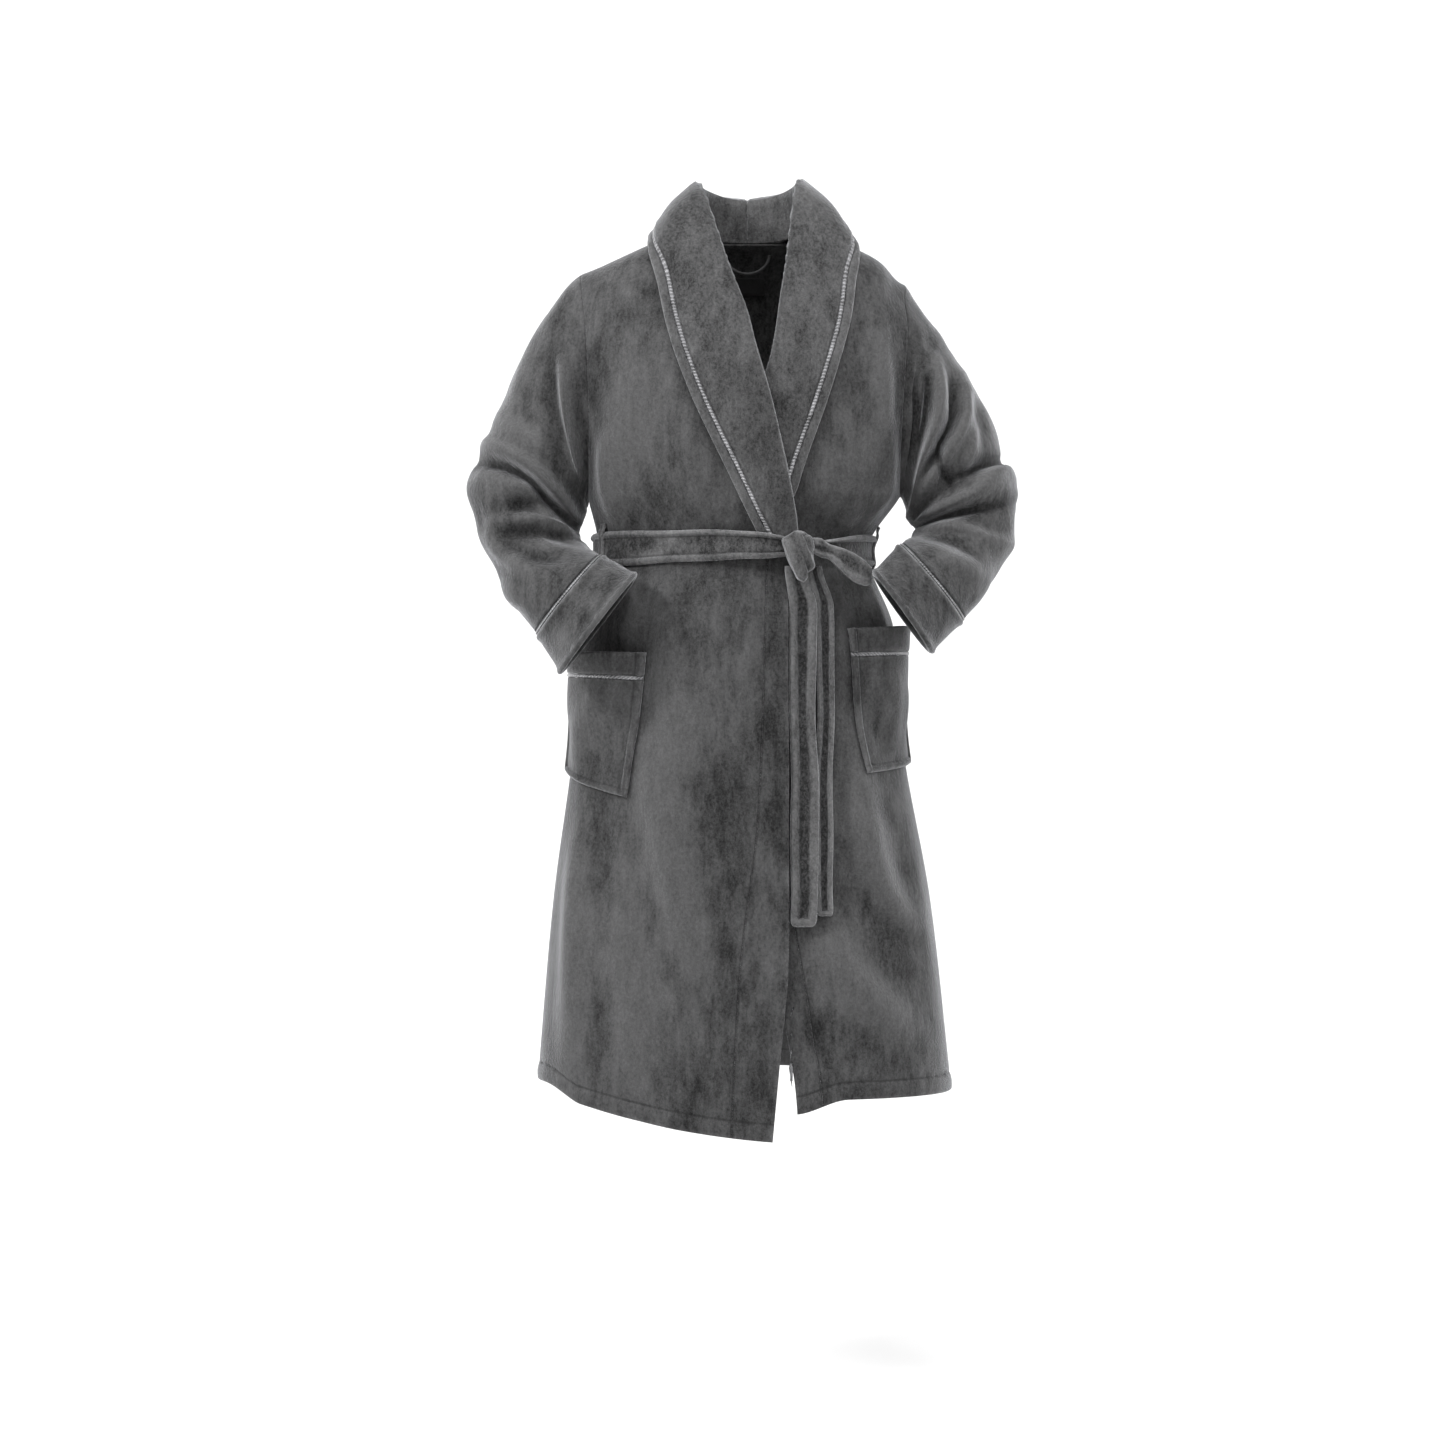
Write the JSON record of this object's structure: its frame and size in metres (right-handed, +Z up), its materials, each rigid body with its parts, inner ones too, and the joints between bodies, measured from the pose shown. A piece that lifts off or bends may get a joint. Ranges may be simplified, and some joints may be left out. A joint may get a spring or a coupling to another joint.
{
  "type": "bathrobe",
  "caption": "Knee-length wrap-over plush bathrobe with shawl collar, satin piping, turned cuffs, patch pockets and a tied belt, in its worn shape.",
  "frame": {"origin": "middle of the neck, level with and between the neck ends of the shoulder seams, where the wearer's neck and shoulders carry the robe", "axes": "+Z up, +X to the wearer's left, -Y to the front"},
  "size_m": [0.7445, 0.366, 1.2803],
  "materials": {
    "plush": "soft plush with a nap",
    "collar_plush": "soft plush with a nap",
    "belt_plush": "soft plush, turned and topstitched",
    "satin": "satin piping",
    "label_tape": "woven tape, blank",
    "cord_tape": "woven cord"
  },
  "bodies": {
    "robe": {"back_panel": "plush", "right_front_panel": "plush", "left_front_panel": "plush", "left_front_band": "plush", "collar_right": "collar_plush", "collar_left": "collar_plush", "collar_edge_right": "collar_plush", "collar_edge_left": "collar_plush", "collar_piping_right": "satin", "collar_piping_left": "satin", "right_pocket": "plush", "left_pocket": "plush", "right_pocket_band": "plush", "left_pocket_band": "plush", "right_pocket_piping": "satin", "left_pocket_piping": "satin", "belt_wrap": "belt_plush", "belt_knot": "belt_plush", "belt_loop_right": "belt_plush", "belt_loop_left": "belt_plush", "neck_label": "label_tape"},
    "right_sleeve": {"right_sleeve": "plush", "right_cuff": "plush", "right_cuff_piping": "satin"},
    "left_sleeve": {"left_sleeve": "plush", "left_cuff": "plush", "left_cuff_piping": "satin"},
    "front_flap": {"right_front_flap": "plush", "right_front_band": "plush"},
    "belt_tail_right": {"belt_tail_right": "belt_plush"},
    "belt_tail_left": {"belt_tail_left": "belt_plush"},
    "belt_bow_loop": {"belt_bow_loop": "belt_plush"},
    "hang_loop": {"hang_loop": "cord_tape"}
  },
  "joints": [
    {"name": "right_sleeve_lift", "type": "hinge", "parent": "robe", "child": "right_sleeve", "pos_m": [-0.2225, 0, -0.054], "axis": [0, 1, 0], "range_deg": [0, 25]},
    {"name": "left_sleeve_lift", "type": "hinge", "parent": "robe", "child": "left_sleeve", "pos_m": [0.2225, 0, -0.054], "axis": [0, -1, 0], "range_deg": [0, 25]},
    {"name": "front_flap_open", "type": "hinge", "parent": "robe", "child": "front_flap", "pos_m": [0.02, -0.158, -0.532], "axis": [-0.2088, -0.025, -0.9776], "range_deg": [0, 50]},
    {"name": "belt_tail_right_swing", "type": "hinge", "parent": "robe", "child": "belt_tail_right", "pos_m": [0.071, -0.1485, -0.479], "axis": [-1, 0, 0], "range_deg": [0, 60]},
    {"name": "belt_tail_left_swing", "type": "hinge", "parent": "robe", "child": "belt_tail_left", "pos_m": [0.09, -0.148, -0.479], "axis": [-1, 0, 0], "range_deg": [0, 60]},
    {"name": "bow_loop_lift", "type": "hinge", "parent": "robe", "child": "belt_bow_loop", "pos_m": [0.0875, -0.147, -0.427], "axis": [0, -1, 0], "range_deg": [0, 20]},
    {"name": "hang_loop_flip", "type": "hinge", "parent": "robe", "child": "hang_loop", "pos_m": [0, 0.064, -0.017], "axis": [-1, 0, 0], "range_deg": [0, 110]}
  ]
}
